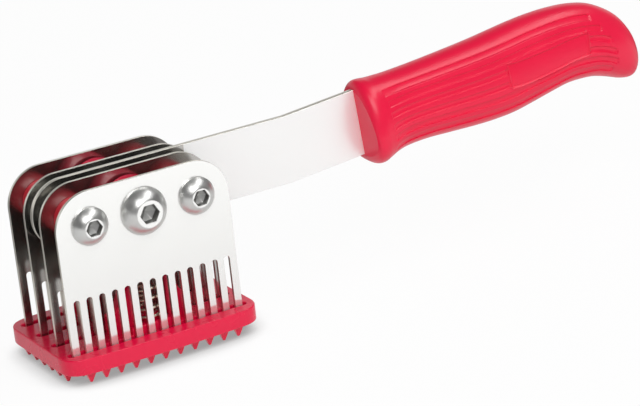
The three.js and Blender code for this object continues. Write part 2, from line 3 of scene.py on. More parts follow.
import bmesh
import bpy
from mathutils import Matrix, Vector


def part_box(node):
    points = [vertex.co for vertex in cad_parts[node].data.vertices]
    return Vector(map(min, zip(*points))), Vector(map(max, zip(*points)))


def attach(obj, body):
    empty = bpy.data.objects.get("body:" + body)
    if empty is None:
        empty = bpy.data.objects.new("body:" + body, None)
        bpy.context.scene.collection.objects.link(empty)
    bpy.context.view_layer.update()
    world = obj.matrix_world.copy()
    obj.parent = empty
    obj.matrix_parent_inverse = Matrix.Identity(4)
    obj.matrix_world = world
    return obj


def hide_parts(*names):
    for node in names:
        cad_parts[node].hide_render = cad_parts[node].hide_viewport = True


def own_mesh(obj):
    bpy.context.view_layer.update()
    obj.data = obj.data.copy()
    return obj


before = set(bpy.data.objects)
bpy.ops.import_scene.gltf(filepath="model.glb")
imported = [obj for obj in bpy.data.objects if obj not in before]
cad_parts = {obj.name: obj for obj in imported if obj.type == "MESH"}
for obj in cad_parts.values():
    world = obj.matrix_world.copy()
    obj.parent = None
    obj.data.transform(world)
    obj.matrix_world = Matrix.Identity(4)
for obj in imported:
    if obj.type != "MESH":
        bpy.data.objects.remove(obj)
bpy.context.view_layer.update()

# Camera
# The lens of a long studio shot, about a metre from the head, looking down at it from its left.
# Its place and turn were worked out from the corners of the plates, the tooth slots and the screws.
MM = 0.001
plate_low, plate_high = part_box("blade_plate_1")
rear_plate_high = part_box("blade_plate_4")[1]
head_middle = Vector(((plate_low.x + plate_high.x) / 2, (plate_low.y + rear_plate_high.y) / 2, 0))
camera_from_head = Vector((-370.05, -830.12, 362.03)) * MM
camera_azimuth = math.radians(28.2625)
camera_elevation = math.radians(19.4471)
camera_roll = math.radians(-6.2739)
camera_data = bpy.data.cameras.new("camera")
camera_data.sensor_width = 36
camera_data.lens = 160.84
camera = bpy.data.objects.new("camera", camera_data)
bpy.context.scene.collection.objects.link(camera)
camera.location = head_middle + camera_from_head
camera.rotation_euler = (
    Matrix.Rotation(-camera_azimuth, 3, "Z")
    @ Matrix.Rotation(math.pi / 2 - camera_elevation, 3, "X")
    @ Matrix.Rotation(camera_roll, 3, "Z")
).to_euler()
bpy.context.scene.camera = camera

# Toothed plates
# Four blades stamped from stainless sheet with slots between the teeth, whose tips are ground to an edge.
# The faces that show are polished bright; those that face each other stay as rolled, a mirror painted
# darker for the shade between the plates.
plate_thickness = plate_high.y - plate_low.y
plate_width = plate_high.x - plate_low.x
plate_corner_radius = 13 * MM
plate_edge_round = 0.09 * MM
tooth_pitch = 4.7 * MM
tooth_slot_width = 2.25 * MM
tooth_slot_top = 28 * MM
tooth_bevel_height = 1.6 * MM
tooth_tip_share = 0.25
screw_spacing = 19.82 * MM
outer_hole_radius = 4.3 * MM
centre_hole_radius = 5.3 * MM
hole_sides = 48
screw_low, screw_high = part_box("centre_screw")
screw_height = (screw_low.z + screw_high.z) / 2
weld_distance = 0.002 * MM
# How much of a face's direction lies along an axis: where it is flat, and where it is a broad side.
exactly_flat = 0.99999
broad_side = 0.9


def arc(centre_x, centre_y, radius, start, stop, steps):
    """Points along an arc in degrees, both ends included."""
    points = []
    for i in range(steps + 1):
        angle = math.radians(start + (stop - start) * i / steps)
        points.append((centre_x + radius * math.cos(angle), centre_y + radius * math.sin(angle)))
    return points


def screw_holes():
    """The outlines of the three holes that the screws pass through."""
    holes = [(-screw_spacing, outer_hole_radius), (0, centre_hole_radius),
             (screw_spacing, outer_hole_radius)]
    stop = 360 - 360 / hole_sides
    return [arc(x, screw_height, radius, 0, stop, hole_sides - 1) for x, radius in holes]


def plate_outlines():
    """A plate's edge round its teeth and upper corners, and its holes, about its own middle."""
    half = plate_width / 2
    slot_radius = tooth_slot_width / 2
    count = math.floor((plate_width - (tooth_pitch - tooth_slot_width)) / tooth_pitch)
    outer = [(-half, plate_low.z)]
    for i in range(count):
        x = (i - (count - 1) / 2) * tooth_pitch
        outer.append((x - slot_radius, plate_low.z))
        outer += arc(x, tooth_slot_top - slot_radius, slot_radius, 180, 0, steps=10)
        outer.append((x + slot_radius, plate_low.z))
    outer.append((half, plate_low.z))
    corner_x = half - plate_corner_radius
    corner_z = plate_high.z - plate_corner_radius
    outer += arc(corner_x, corner_z, plate_corner_radius, 0, 90, steps=20)
    outer += arc(-corner_x, corner_z, plate_corner_radius, 90, 180, steps=20)
    return [outer] + screw_holes()


def cut_sheet(name, outlines, thickness, edge_round, steps=2):
    """A flat piece with rounded edges from closed outlines in X and Z, even on both sides of Y = 0."""
    flat = bpy.data.curves.new(name, "CURVE")
    flat.dimensions = "2D"
    flat.fill_mode = "BOTH"
    flat.extrude = thickness / 2 - edge_round
    flat.bevel_depth = edge_round
    flat.bevel_resolution = steps
    flat.offset = -edge_round
    for outline in outlines:
        spline = flat.splines.new("POLY")
        spline.points.add(len(outline) - 1)
        spline.use_cyclic_u = True
        for point, (x, y) in zip(spline.points, outline):
            point.co = (x, y, 0, 1)
    holder = bpy.data.objects.new(name, flat)
    bpy.context.scene.collection.objects.link(holder)
    graph = bpy.context.evaluated_depsgraph_get()
    mesh = bpy.data.meshes.new_from_object(holder.evaluated_get(graph))
    bpy.data.objects.remove(holder)
    bpy.data.curves.remove(flat)
    mesh.transform(Matrix.Rotation(math.pi / 2, 4, "X"))
    return mesh


def cut_across(work, point, direction):
    """Cuts every face that a plane passes through in two."""
    parts = work.verts[:] + work.edges[:] + work.faces[:]
    bmesh.ops.bisect_plane(work, geom=parts, plane_co=point, plane_no=direction)


def grind_teeth(mesh):
    """Tapers the tips of the teeth from both faces to a narrow edge."""
    work = bmesh.new()
    work.from_mesh(mesh)
    cut_across(work, (0, 0, plate_low.z + tooth_bevel_height), (0, 0, 1))
    for vertex in work.verts:
        rise = (vertex.co.z - plate_low.z) / tooth_bevel_height
        if rise < 1:
            vertex.co.y *= tooth_tip_share + (1 - tooth_tip_share) * rise
    work.to_mesh(mesh)
    work.free()


def tidy_mesh(mesh, sharp_angle):
    """Welds the seams, turns the faces out, and shades smooth all but flat sides and sharp edges."""
    work = bmesh.new()
    work.from_mesh(mesh)
    bmesh.ops.remove_doubles(work, verts=work.verts, dist=weld_distance)
    bmesh.ops.recalc_face_normals(work, faces=work.faces)
    work.to_mesh(mesh)
    work.free()
    mesh.set_sharp_from_angle(angle=math.radians(sharp_angle))
    for face in mesh.polygons:
        face.use_smooth = max(abs(n) for n in face.normal) < exactly_flat
    return mesh


def linear(hex_colour):
    """An sRGB hex colour as the linear colour that shaders take."""
    channels = [int(hex_colour[i:i + 2], 16) / 255 for i in (1, 3, 5)]
    return [c / 12.92 if c <= 0.04045 else ((c + 0.055) / 1.055) ** 2.4 for c in channels] + [1]


def add(tree, kind, settings=None, **inputs):
    """Adds a node with its settings. Inputs go by name, or as i0 and i1, and take a value or a link."""
    made = tree.nodes.new(kind)
    for key, value in (settings or {}).items():
        setattr(made, key, value)
    for key, value in inputs.items():
        counted = key[0] == "i" and key[1:].isdigit()
        slot = made.inputs[int(key[1:]) if counted else key.replace("_", " ")]
        if isinstance(value, bpy.types.NodeSocket):
            tree.links.new(value, slot)
        else:
            slot.default_value = value
    return made


def new_material(name):
    """An empty node material and its tree."""
    material = bpy.data.materials.new(name)
    material.use_nodes = True
    material.node_tree.nodes.clear()
    return material, material.node_tree


# Lines from rolling and polishing run along the head and are 25 times as long as they are wide. Real ones
# are about 0.02 mm wide, too fine to show, so line_mm draws them coarser. Handling dulls whole patches.
line_stretch = (0.04, 1, 1)
dull_patch = 18 * MM
satin_roughness = 0.5


def sheet_steel(name, hex_colour, rough, satin_share, satin_metal, line_mm):
    """Stainless sheet: a mirror with a satin haze over it from fine lines, a little duller in patches."""
    material, tree = new_material(name)
    colour = linear(hex_colour)
    where = add(tree, "ShaderNodeTexCoord").outputs["Object"]
    along = add(tree, "ShaderNodeMapping", Vector=where, Scale=line_stretch).outputs["Vector"]
    lines = add(tree, "ShaderNodeTexNoise", Vector=along, Scale=1 / (line_mm * MM), Detail=3).outputs["Fac"]
    patches = add(tree, "ShaderNodeTexNoise", Vector=where, Scale=1 / dull_patch, Detail=2).outputs["Fac"]
    uneven = add(tree, "ShaderNodeMath", {"operation": "MULTIPLY"}, i0=lines, i1=patches).outputs["Value"]
    dulled = add(tree, "ShaderNodeMapRange", Value=uneven, From_Min=0.1, From_Max=0.5,
                 To_Min=rough * 0.93, To_Max=rough * 1.1).outputs["Result"]
    mirror = add(tree, "ShaderNodeBsdfPrincipled", Base_Color=colour, Metallic=1, Roughness=dulled)
    satin = add(tree, "ShaderNodeBsdfPrincipled", Base_Color=colour, Metallic=satin_metal,
                Roughness=satin_roughness)
    both = add(tree, "ShaderNodeMixShader", Fac=satin_share, i1=mirror.outputs["BSDF"],
               i2=satin.outputs["BSDF"])
    add(tree, "ShaderNodeOutputMaterial", Surface=both.outputs["Shader"])
    return material


# The polished faces: a clear mirror under a white haze, bright from every side.
outer_steel = sheet_steel("polished_stainless_sheet", "#F8F8F6", rough=0.12, satin_share=0.4,
                          satin_metal=0.3, line_mm=0.25)
# The faces as rolled: a nearly plain mirror, painted grey for the shade between the plates, which
# multiplies the red of the parts between them.
rolled_steel_painted_shade = sheet_steel("rolled_stainless_sheet_painted_shade", "#B8B6B2", rough=0.16, satin_share=0.08,
                          satin_metal=1, line_mm=0.25)
# The sheared edges: rougher and a little warmer, so they catch the light as thin pale lines.
edge_steel = sheet_steel("sheared_stainless_edge", "#E6E2D8", rough=0.3, satin_share=0.3,
                         satin_metal=1, line_mm=0.25)


def face_steels(mesh, outer_front, outer_rear):
    """Gives the edges, the faces that show and the faces turned inwards their own steels."""
    for steel in (edge_steel, outer_steel, rolled_steel_painted_shade):
        mesh.materials.append(steel)
    for face in mesh.polygons:
        if abs(face.normal.y) < broad_side:
            face.material_index = 0
        elif face.normal.y < 0:
            face.material_index = 1 if outer_front else 2
        else:
            face.material_index = 1 if outer_rear else 2


def place(name, mesh, at, body, material, slot, *nodes):
    """Makes a piece of a mesh, moved to where it belongs, riding on its body in place of its nodes."""
    mesh.transform(Matrix.Translation(at))
    mesh.name = name
    if material is not None:
        mesh.materials.clear()
        mesh.materials.append(material)
    piece = bpy.data.objects.new(name, mesh)
    bpy.context.scene.collection.objects.link(piece)
    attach(piece, body)
    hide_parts(*nodes)
    return piece


for i in range(1, 5):
    low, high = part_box(f"blade_plate_{i}")
    sheet = cut_sheet("plate", plate_outlines(), plate_thickness, plate_edge_round)
    grind_teeth(sheet)
    tidy_mesh(sheet, sharp_angle=25)
    face_steels(sheet, outer_front=i == 1, outer_rear=i == 4)
    at = Vector((head_middle.x, (low.y + high.y) / 2, 0))
    place(f"toothed_plate_{i}", sheet, at, "head", None, "plate_steel", f"blade_plate_{i}")

# Spacers and sleeves
# Turned tubes slipped over the screws: red plastic ones keep the outer plates apart,
# steel ones hold the shank in the middle, and a steel sleeve on the centre screw carries each tongue.
tube_edge_round = 0.25 * MM
tube_sides = 64


def box_centre(node):
    low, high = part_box(node)
    return (low + high) / 2


def loft(rings, closed=False):
    """A skin through rings of points; the ends are closed by a face, or the last ring meets the first."""
    sides = len(rings[0])
    vertices = [point for ring in rings for point in ring]
    faces = []
    spans = len(rings) if closed else len(rings) - 1
    for i in range(spans):
        a = i * sides
        b = (i + 1) % len(rings) * sides
        for j in range(sides):
            k = (j + 1) % sides
            faces.append((a + j, a + k, b + k, b + j))
    if not closed:
        faces.append(tuple(range(sides))[::-1])
        faces.append(tuple(range((len(rings) - 1) * sides, len(rings) * sides)))
    mesh = bpy.data.meshes.new("loft")
    mesh.from_pydata([tuple(v) for v in vertices], [], faces)
    return mesh


def turned(profile, closed=False):
    """Turns a profile of (radius, y) about the Y axis."""
    turns = [math.tau * j / tube_sides for j in range(tube_sides)]
    rings = [[(radius * math.cos(t), y, radius * math.sin(t)) for t in turns] for radius, y in profile]
    return loft(rings, closed)


def tube_profile(outer, bore, length):
    """A tube's wall in section, with rounded outer edges."""
    half = length / 2
    edge = tube_edge_round
    corner = [(outer - edge + x, half - edge + y) for x, y in arc(0, 0, edge, 0, 90, steps=4)]
    return [(r, -y) for r, y in corner[::-1]] + corner + [(bore, half), (bore, -half)]


# A polished mould leaves an orange peel that waves over less than a millimetre, which grain_mm gives.
# Handling dulls the gloss in clouds about as wide as a fingertip.
plastic_ior = 1.49
fingertip = 14 * MM


def moulded_plastic(name, hex_colour, roughness, grain_mm, grain_depth_mm):
    """Injection-moulded plastic: one colour, and a glossy skin with faint orange peel and dull clouds."""
    material, tree = new_material(name)
    where = add(tree, "ShaderNodeTexCoord").outputs["Object"]
    grain = add(tree, "ShaderNodeTexNoise", Vector=where, Scale=1 / (grain_mm * MM),
                Detail=2).outputs["Fac"]
    clouds = add(tree, "ShaderNodeTexNoise", Vector=where, Scale=1 / fingertip, Detail=3).outputs["Fac"]
    value = add(tree, "ShaderNodeMapRange", Value=clouds, To_Min=0.95, To_Max=1.05).outputs["Result"]
    tint = add(tree, "ShaderNodeHueSaturation", Value=value, Color=linear(hex_colour)).outputs["Color"]
    dulled = add(tree, "ShaderNodeMapRange", Value=clouds, To_Min=roughness * 0.85,
                 To_Max=roughness * 1.2).outputs["Result"]
    bump = add(tree, "ShaderNodeBump", Height=grain, Strength=0.25,
               Distance=grain_depth_mm * MM).outputs["Normal"]
    shader = add(tree, "ShaderNodeBsdfPrincipled", Base_Color=tint, Roughness=dulled, IOR=plastic_ior,
                 Normal=bump)
    add(tree, "ShaderNodeOutputMaterial", Surface=shader.outputs["BSDF"])
    return material


# Tumbling and turning marks are about 0.1 mm wide on real fasteners; mark_mm draws them coarser to show.
# Oil and touch leave stains of a few millimetres, a shade darker and duller than the rest.
stain = 3 * MM
mark_depth = 0.03 * MM


def plain_steel(name, hex_colour, roughness, mark_mm):
    """Stainless fasteners as they come from the works: dull bright steel with fine tumbling marks."""
    material, tree = new_material(name)
    where = add(tree, "ShaderNodeTexCoord").outputs["Object"]
    marks = add(tree, "ShaderNodeTexNoise", Vector=where, Scale=1 / (mark_mm * MM), Detail=4).outputs["Fac"]
    stains = add(tree, "ShaderNodeTexNoise", Vector=where, Scale=1 / stain, Detail=3).outputs["Fac"]
    value = add(tree, "ShaderNodeMapRange", Value=stains, From_Min=0.3, From_Max=0.7,
                To_Min=0.93, To_Max=1.03).outputs["Result"]
    tint = add(tree, "ShaderNodeHueSaturation", Value=value, Color=linear(hex_colour)).outputs["Color"]
    dulled = add(tree, "ShaderNodeMapRange", Value=stains, From_Min=0.3, From_Max=0.7,
                 To_Min=roughness * 0.85, To_Max=roughness * 1.15).outputs["Result"]
    bump = add(tree, "ShaderNodeBump", Height=marks, Strength=0.2, Distance=mark_depth).outputs["Normal"]
    shader = add(tree, "ShaderNodeBsdfPrincipled", Base_Color=tint, Metallic=1, Roughness=dulled,
                 Normal=bump)
    add(tree, "ShaderNodeOutputMaterial", Surface=shader.outputs["BSDF"])
    return material


# Turned steel: the tool's fine marks give a soft grey gloss.
turned_steel = plain_steel("turned_stainless", "#C9C9C6", roughness=0.25, mark_mm=0.5)
# Acetal: a deep, smooth red with a slightly waxy gloss.
spacer_plastic = moulded_plastic("red_acetal_spacer", "#D00A2C", roughness=0.3, grain_mm=0.6,
                                 grain_depth_mm=0.02)
tubes = [(f"red_spacer_{side}_{end}", spacer_plastic, "red_spacer_plastic", outer_hole_radius)
         for side in ("left", "right") for end in ("front", "rear")]
tubes += [(f"centre_sleeve_{end}", turned_steel, "screw_steel", centre_hole_radius)
          for end in ("front", "rear")]
tubes += [(f"shank_spacer_{side}_{end}", turned_steel, "screw_steel",
           centre_hole_radius if side == "centre" else outer_hole_radius)
          for side in ("left", "centre", "right") for end in ("front", "rear")]
for node, material, slot, bore in tubes:
    low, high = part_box(node)
    profile = tube_profile((high.x - low.x) / 2, bore, high.y - low.y)
    tube = tidy_mesh(turned(profile, closed=True), sharp_angle=30)
    place(f"{node}_tube", tube, box_centre(node), "head", material, slot, node)

# Screws
# Stainless button head screws with a hexagon socket, cold headed and put in from the front.
# The heads are domes with a small flat round the socket; the thread shows only past the nuts.
screw_sides = 96
closing_radius = 0.02 * MM
head_rim_height = 0.8 * MM
head_edge = 0.12 * MM
head_flat_ease = 0.02 * MM
dome_steps = 14
socket_mouth = 0.18 * MM
socket_foot = 0.1 * MM
socket_foot_share = 0.96
thread_length = 4 * MM
thread_depth_share = 0.54
thread_flank = 1.25
thread_run_out = 0.4
thread_end_depth = 1.15
thread_rings_per_turn = 10


def hexagon_radius(width_across_flats, angle):
    """How far a hexagon's edge lies from its middle, with flats facing left and right."""
    return width_across_flats / 2 / math.cos((angle + math.pi / 6) % (math.pi / 3) - math.pi / 6)


def around(radius_at, y):
    """A ring about the Y axis whose radius may change with the angle."""
    ring = []
    for j in range(screw_sides):
        angle = math.tau * j / screw_sides
        radius = radius_at(angle) if callable(radius_at) else radius_at
        ring.append((radius * math.cos(angle), y, radius * math.sin(angle)))
    return ring


def screw_mesh(face_y, end_y, diameter, head, head_height, head_flat, socket, socket_depth, thread_pitch):
    """One skin from the floor of the socket over the dome and along the screw to its threaded end."""
    rim = head / 2
    flat = head_flat / 2
    squares = flat ** 2 - rim ** 2 + head_height ** 2 - head_rim_height ** 2
    centre = squares / (2 * (head_height - head_rim_height))
    dome = math.hypot(flat, head_height - centre)
    top = face_y - head_height

    def socket_wall(angle):
        return hexagon_radius(socket, angle + math.pi / 6)

    # The socket ends in the drill's point, which is a fifth of its width deep.
    rings = [
        around(closing_radius, top + socket_depth + socket / 5),
        around(lambda angle: socket_wall(angle) * socket_foot_share, top + socket_depth),
        around(socket_wall, top + socket_depth - socket_foot),
        around(socket_wall, top + socket_mouth),
        around(lambda angle: socket_wall(angle) + socket_mouth, top),
        around(flat - head_edge, top),
        around(flat, top + head_flat_ease),
    ]
    first = math.asin(flat / dome)
    last = math.asin(rim / dome)
    for i in range(1, dome_steps + 1):
        angle = first + (last - first) * i / dome_steps
        rings.append(around(dome * math.sin(angle), face_y - centre - dome * math.cos(angle)))
    rings += [around(rim, face_y - head_edge), around(rim - head_edge, face_y)]
    radius = diameter / 2
    rings += [around(radius, face_y), around(radius, end_y - thread_length)]
    depth = thread_depth_share * thread_pitch
    steps = round(thread_length / (thread_pitch / thread_rings_per_turn))
    for i in range(1, steps):
        y = end_y - thread_length + thread_length * i / steps
        fade = min(1, (end_y - y) / thread_pitch) ** 0.5

        def thread(angle, y=y, fade=fade):
            turn = (y / thread_pitch + angle / math.tau) % 1
            cut = depth * min(1, thread_flank * abs(1 - 2 * turn))
            return radius - cut - (1 - fade) * depth * thread_run_out

        rings.append(around(thread, y))
    rings += [around(radius - depth * thread_end_depth, end_y), around(closing_radius, end_y)]
    return loft(rings)


front_face = plate_low.y
socket_share = 0.58
head_flat_normal = -0.99
# In mm: the thread, the head's width and height, the flat on it, the socket's width and depth, the pitch.
outer_screw = (8, 13, 3.8, 6.8, 5, 2.5, 1.25)
centre_screw = (10, 16.5, 4.9, 9.6, 6, 3.1, 1.5)
# Cold-headed steel: a dull silver dome with broad, soft highlights.
screw_steel = plain_steel("stainless_fastener", "#D4D4D2", roughness=0.35, mark_mm=0.35)
# The punched socket: the punch drags the steel, so its walls are rougher than the dome; their darker grey
# is painted shade in the recess.
socket_steel_painted_shade = plain_steel("punched_socket_steel", "#B0B0AE", roughness=0.42, mark_mm=0.4)
for side, sizes_mm in (("left", outer_screw), ("centre", centre_screw), ("right", outer_screw)):
    end_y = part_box(f"{side}_screw")[1].y
    mesh = screw_mesh(front_face, end_y, *(size * MM for size in sizes_mm))
    tidy_mesh(mesh, sharp_angle=28)
    socket_reach = socket_share * sizes_mm[4] * MM
    for steel in (screw_steel, socket_steel_painted_shade, outer_steel):
        mesh.materials.append(steel)
    for face in mesh.polygons:
        if face.center.y < front_face and math.hypot(face.center.x, face.center.z) < socket_reach:
            face.material_index = 1
        elif face.center.y < front_face and face.normal.y < head_flat_normal:
            face.material_index = 2
    middle = box_centre(f"{side}_screw")
    at = Vector((middle.x, 0, middle.z))
    place(f"{side}_button_screw", mesh, at, "head", None, "screw_steel", f"{side}_screw")

# Nuts
# Stainless hexagon nuts, chamfered at their corners on both faces, run up against the rear plate.
# The chamfer leaves the curved edges where its cone meets the flats.
nut_chamfer = 0.7 * MM
nut_face_share = 0.97
nut_bore_sink = 0.5 * MM
nut_thread_depth = 0.25 * MM
nut_levels = [0, 0.03, 0.06, 0.09, 0.12, 0.16, 0.5, 0.84, 0.88, 0.91, 0.94, 0.97, 1]


def nut_mesh(width, height, bore):
    corner = width / math.sqrt(3)
    slope = nut_chamfer / (corner - width / 2)

    def outside(y):
        limit = width / 2 * nut_face_share + (height / 2 - abs(y)) / slope
        return around(lambda angle: min(hexagon_radius(width, angle), limit), y)

    rings = [outside((level - 0.5) * height) for level in nut_levels]
    rings += [around(bore + nut_bore_sink, height / 2), around(bore, height / 2 - nut_bore_sink)]
    rings += [around(bore, nut_bore_sink - height / 2), around(bore + nut_bore_sink, -height / 2)]
    return loft(rings, True)


for side in ("left", "centre", "right"):
    node = f"{side}_nut"
    low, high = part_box(node)
    bore = (centre_hole_radius if side == "centre" else outer_hole_radius) - nut_thread_depth
    mesh = tidy_mesh(nut_mesh(high.x - low.x, high.y - low.y, bore), sharp_angle=24)
    place(f"{side}_hexagon_nut", mesh, box_centre(node), "head", screw_steel, "screw_steel", node)

# Shank
# A flat strip of stainless steel with a round end, bolted between the inner plates. It is satin where it
# shows, and inside the head it takes the darker rolled steel as painted shade. It is set up by about five
# degrees in its own plane beyond them and runs into the handle.
shank_low, shank_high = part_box("shank")
shank_width = 24.2 * MM
shank_edge_round = 0.15 * MM
shank_bend_x = 65 * MM
shank_reach = 28.2 * MM
shank_angle = math.radians(5.13)
shank_into_handle = 1.2 * MM
# Short of this the strip keeps the darker rolled steel, painted shade inside the head; past it, the satin.
painted_shade_end = plate_width / 2 - 6 * MM
plate_top = plate_high.z


def shank_outlines():
    """The strip's edge, level through the head and then rising to the handle, and its holes."""
    along = Vector((math.cos(shank_angle), math.sin(shank_angle)))
    down = Vector((along.y, -along.x))
    bend = Vector((shank_bend_x, plate_top))
    end = bend + along * (shank_reach + shank_into_handle)
    lower_end = end + down * shank_width
    lower_bend_x = shank_bend_x + shank_width * math.tan(shank_angle / 2)
    outer = [(lower_bend_x, plate_top - shank_width), tuple(lower_end), tuple(end), tuple(bend)]
    outer += arc(-screw_spacing, screw_height, shank_width / 2, 90, 270, steps=40)
    return [outer] + screw_holes()


# The satin strip: ground matt, almost white, and it shows only soft traces of what stands near it.
shank_steel = sheet_steel("satin_stainless_strip", "#FFFFFE", rough=0.3, satin_share=0.7,
                          satin_metal=0.2, line_mm=0.3)
sheet = cut_sheet("shank", shank_outlines(), shank_high.y - shank_low.y, shank_edge_round)
work = bmesh.new()
work.from_mesh(sheet)
cut_across(work, (painted_shade_end, 0, 0), (1, 0, 0))
work.to_mesh(sheet)
work.free()
tidy_mesh(sheet, sharp_angle=25)
face_steels(sheet, outer_front=False, outer_rear=False)
# Past that line the broad faces take the satin; short of it they keep the shade-painted rolled steel.
sheet.materials.append(shank_steel)
for face in sheet.polygons:
    if face.center.x > painted_shade_end and abs(face.normal.y) > broad_side:
        face.material_index = 3
place("shank_strip", sheet, Vector((head_middle.x, 0, 0)), "head", None, "shank_steel", "shank")

# Handle
# Moulded on the shank's tang in glossy red polypropylene: an oval grip with a lip at the front,
# a swell in the middle and a hooked pommel, with shallow grooves and a plain sunken panel on each side.
handle_length = 117.8 * MM
grip_height = 30 * MM
grip_thickness = 24 * MM
grip_roundness = 2.3
grip_taper = 0.15
lip_taper = 0.17
lip_rows = 4
# Rows along the grip, in shares of its length, height and thickness: how far along and how high the top
# edge lies, the same for the bottom edge, and how thick the grip is there.
grip_rows = [
    (0, 0.387, 0, -0.42, 0.95), (0.006, 0.443, 0.006, -0.48, 1.03),
    (0.019, 0.483, 0.019, -0.53, 1.08), (0.038, 0.482, 0.038, -0.543, 1.08),
    (0.06, 0.467, 0.06, -0.52, 1.03), (0.09, 0.458, 0.09, -0.485, 0.967),
    (0.13, 0.45, 0.13, -0.465, 0.92), (0.2, 0.447, 0.2, -0.472, 0.9),
    (0.28, 0.45, 0.28, -0.506, 0.905), (0.365, 0.456, 0.365, -0.543, 0.93),
    (0.44, 0.465, 0.44, -0.565, 0.95), (0.51, 0.481, 0.51, -0.566, 0.958),
    (0.58, 0.496, 0.58, -0.536, 0.95), (0.655, 0.499, 0.65, -0.497, 0.952),
    (0.73, 0.482, 0.715, -0.47, 0.928), (0.802, 0.438, 0.768, -0.481, 0.912),
    (0.871, 0.345, 0.815, -0.51, 0.896), (0.938, 0.155, 0.856, -0.563, 0.864),
    (0.978, -0.064, 0.889, -0.618, 0.8), (0.996, -0.262, 0.917, -0.665, 0.704),
    (0.999, -0.427, 0.947, -0.69, 0.544), (0.991, -0.561, 0.972, -0.65, 0.288),
    (0.985, -0.62, 0.985, -0.62, 0),
]
last_row = len(grip_rows) - 1
groove_rows = last_row - 1
# Each groove: how far down the side it runs, and where it starts and stops along the rows.
grooves = [(0.145, 0.2, 0.735), (0.277, 0.205, 0.76), (0.408, 0.2, 0.785),
           (0.55, 0.198, 0.805), (0.685, 0.2, 0.818), (0.822, 0.205, 0.805)]
half_groove = 2.15 * MM / 2
groove_depth = 0.5 * MM
groove_fade = 7 * MM
groove_start_share = 0.45
groove_wall = 0.3 * MM
wall_outside = 0.25
# The panel: how far down the side its upper and lower edges lie, and where it starts and stops.
panel = (0.33, 0.6, 0.51, 0.714)
panel_grooves = (2, 3)
panel_bow = 0.04
panel_depth = 0.45 * MM
panel_border = 0.7 * MM
panel_border_flat = 0.4
rim_height = 0.25 * MM
rim_half_width = 0.4 * MM
rim_offset = 0.35 * MM


def blended(rows, at):
    """A smooth curve through rows of numbers, at a place counted in rows."""
    i = min(int(at), len(rows) - 2)
    t = at - i
    before, a, b, after = rows[max(i - 1, 0)], rows[i], rows[i + 1], rows[min(i + 2, len(rows) - 1)]
    made = []
    for p0, p1, p2, p3 in zip(before, a, b, after):
        bend = 2 * p0 - 5 * p1 + 4 * p2 - p3
        twist = 3 * (p1 - p2) + p3 - p0
        made.append(p1 + t * (p2 - p0 + t * (bend + t * twist)) / 2)
    return made


def smooth(value):
    """Eases from 0 to 1."""
    value = min(max(value, 0), 1)
    return value * value * (3 - 2 * value)


def grip_section(at):
    """The top and bottom of the grip, seen from its side, and half its thickness, at a place in rows."""
    top_along, top_up, low_along, low_up, thick = blended(grip_rows, at)
    top = Vector((top_along * handle_length, top_up * grip_height))
    low = Vector((low_along * handle_length, low_up * grip_height))
    return top, low, max(thick, 0) * grip_thickness / 2


def grip_width(rise, taper):
    """Half the width of a section at a rise from -1 at its bottom to 1 at its top, the narrower end."""
    return (1 - abs(rise) ** grip_roundness) ** (1 / grip_roundness) * (1 - taper * rise)


def wall_depth(inward):
    """How much of its full depth a groove or the panel has, a given way inside its outline."""
    return smooth(inward / groove_wall + wall_outside)


def bowed(share, panel_here):
    """How far down an edge of the panel lies, drawn down towards the middle so that it looks straight."""
    start_x, stop_x, x = panel_here
    return share + panel_bow * max(1 - ((2 * x - start_x - stop_x) / (stop_x - start_x)) ** 2, 0)


def relief(down, height, grooves_here, panel_here):
    """The depth of the grooves or the panel at a place on the side of the grip."""
    depth = 0
    for (share, _, _), (start_x, stop_x, x) in zip(grooves, grooves_here):
        off = abs(down - share) * height
        if off > half_groove + groove_wall:
            continue
        rounded = half_groove - math.hypot(max(x - (stop_x - half_groove), 0), off)
        square = min(half_groove - off, x - start_x)
        inward = rounded if x > stop_x - half_groove else square
        fade = groove_start_share + (1 - groove_start_share) * smooth((x - start_x) / groove_fade)
        depth = max(depth, groove_depth * fade * wall_depth(inward))
    start_x, stop_x, x = panel_here
    above = (down - bowed(panel[0], panel_here)) * height
    below = (bowed(panel[1], panel_here) - down) * height
    inward = min(above, below, x - start_x, stop_x - x)
    if inward < -panel_border:
        return depth
    rim = rim_height * smooth(1 - abs(inward + rim_offset) / rim_half_width)
    if inward > -wall_outside * groove_wall:
        return panel_depth * wall_depth(inward) - rim
    return depth * smooth(-inward / panel_border - panel_border_flat) - rim


# Points across a groove, as an edge or the middle and a number of walls from it, and points across an
# edge of the panel, in mm from it: close together where the surface turns.
groove_steps = [(-half_groove, -0.35), (-half_groove, -0.1), (-half_groove, 0.2), (-half_groove, 0.5),
                (-half_groove, 0.85), (0, 0)]
groove_steps += [(-edge, -step) for edge, step in groove_steps[-2::-1]]
panel_steps = [-0.75, -0.5, -0.25, -0.08, 0.06, 0.15, 0.25, 0.4, 0.8, 1.2, 1.6]
crown_points = 20
ridge_steps = 7


